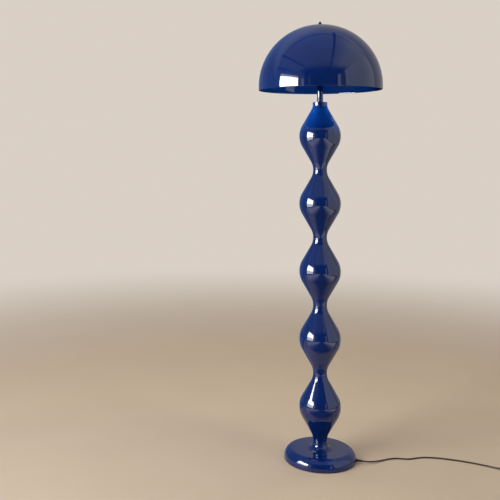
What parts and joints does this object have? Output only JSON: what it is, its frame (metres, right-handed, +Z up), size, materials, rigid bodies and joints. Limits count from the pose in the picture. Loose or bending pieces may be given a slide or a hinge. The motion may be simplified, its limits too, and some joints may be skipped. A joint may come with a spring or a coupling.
{
  "type": "floor lamp",
  "caption": "Mushroom floor lamp with a round weighted base, a stem of stacked spun bulges, a domed shade over side-facing bulbs, and a cord with foot switch and plug.",
  "frame": {"origin": "centre of the base's underside, on the floor", "axes": "+Z up the lamp's axis, +X towards the side where the cord runs off and along the line of the two bulbs, +Y towards the back as the picture sees it"},
  "size_m": [1.0551, 0.447, 1.6004],
  "materials": {
    "blue_paint": "deep blue high-gloss lacquer on spun steel",
    "chrome": "polished plating",
    "steel": "zinc plated",
    "cast_iron": "rough casting, painted grey-black",
    "felt": "dark pressed felt",
    "bush_plastic": "moulded",
    "holder_plastic": "moulded phenolic",
    "brass": "bare",
    "bulb_glass": "opal",
    "bulb_cap": "rolled thread",
    "finial": "near-black gloss",
    "cord": "dark brown flexible sheath",
    "brown_plastic": "dark brown moulded",
    "tie": "flat strap",
    "pins": "nickel plated"
  },
  "bodies": {
    "lamp": {"base_cover": "blue_paint", "base_neck": "blue_paint", "base_nut": "steel", "base_pad": "felt", "base_plate": "steel", "base_washer": "steel", "base_weight": "cast_iron", "branch_leads": "cord", "clamp_screws": "steel", "coil_tie": "tie", "cord_bushing": "brown_plastic", "cord_clamp": "bush_plastic", "cord_coil": "cord", "cord_run_1": "cord", "cord_run_2": "cord", "cord_run_3": "cord", "foot_collar": "blue_paint", "holder_body_1": "holder_plastic", "holder_body_2": "holder_plastic", "holder_cap_1": "holder_plastic", "holder_cap_2": "holder_plastic", "holder_contacts": "brass", "hub_body": "chrome", "hub_lid": "chrome", "hub_nut": "steel", "inner_lead": "cord", "joint_bushes": "bush_plastic", "lower_rod": "steel", "middle_rod": "steel", "neck_tube": "blue_paint", "nipples": "brass", "plate_screws": "steel", "plug_body": "brown_plastic", "plug_pins": "pins", "rod_couplers": "steel", "seat_nut": "steel", "seat_washer": "steel", "shade_rod": "steel", "stem_shell_1": "blue_paint", "stem_shell_2": "blue_paint", "stem_shell_3": "blue_paint", "stem_shell_4": "blue_paint", "stem_shell_5": "blue_paint", "switch_base": "brown_plastic", "switch_core": "brown_plastic", "switch_cover": "brown_plastic", "switch_reliefs": "brown_plastic", "switch_screws": "steel", "switch_spring": "steel", "terminal_block": "holder_plastic", "top_collar": "blue_paint", "upper_rod": "steel"},
    "shade": {"shade": "blue_paint"},
    "finial": {"finial": "finial"},
    "bulb_1": {"bulb_glass_1": "bulb_glass", "bulb_cap_1": "bulb_cap"},
    "bulb_2": {"bulb_glass_2": "bulb_glass", "bulb_cap_2": "bulb_cap"},
    "switch_button": {"switch_button": "brown_plastic"}
  },
  "joints": [
    {"name": "shade_lift", "type": "slide", "parent": "lamp", "child": "shade", "axis": [0, 0, 1], "range_m": [0, 0.26]},
    {"name": "finial_unscrew", "type": "slide", "parent": "shade", "child": "finial", "axis": [0, 0, 1], "range_m": [0, 0.03]},
    {"name": "bulb_1_unscrew", "type": "slide", "parent": "lamp", "child": "bulb_1", "axis": [1, 0, 0], "range_m": [0, 0.03]},
    {"name": "bulb_2_unscrew", "type": "slide", "parent": "lamp", "child": "bulb_2", "axis": [-1, 0, 0], "range_m": [0, 0.03]},
    {"name": "switch_press", "type": "slide", "parent": "lamp", "child": "switch_button", "axis": [0, 0, -1], "range_m": [0, 0.0025], "stiffness_N_per_m": 800, "springref_m": -0.002, "deforming": ["switch_spring"]}
  ]
}
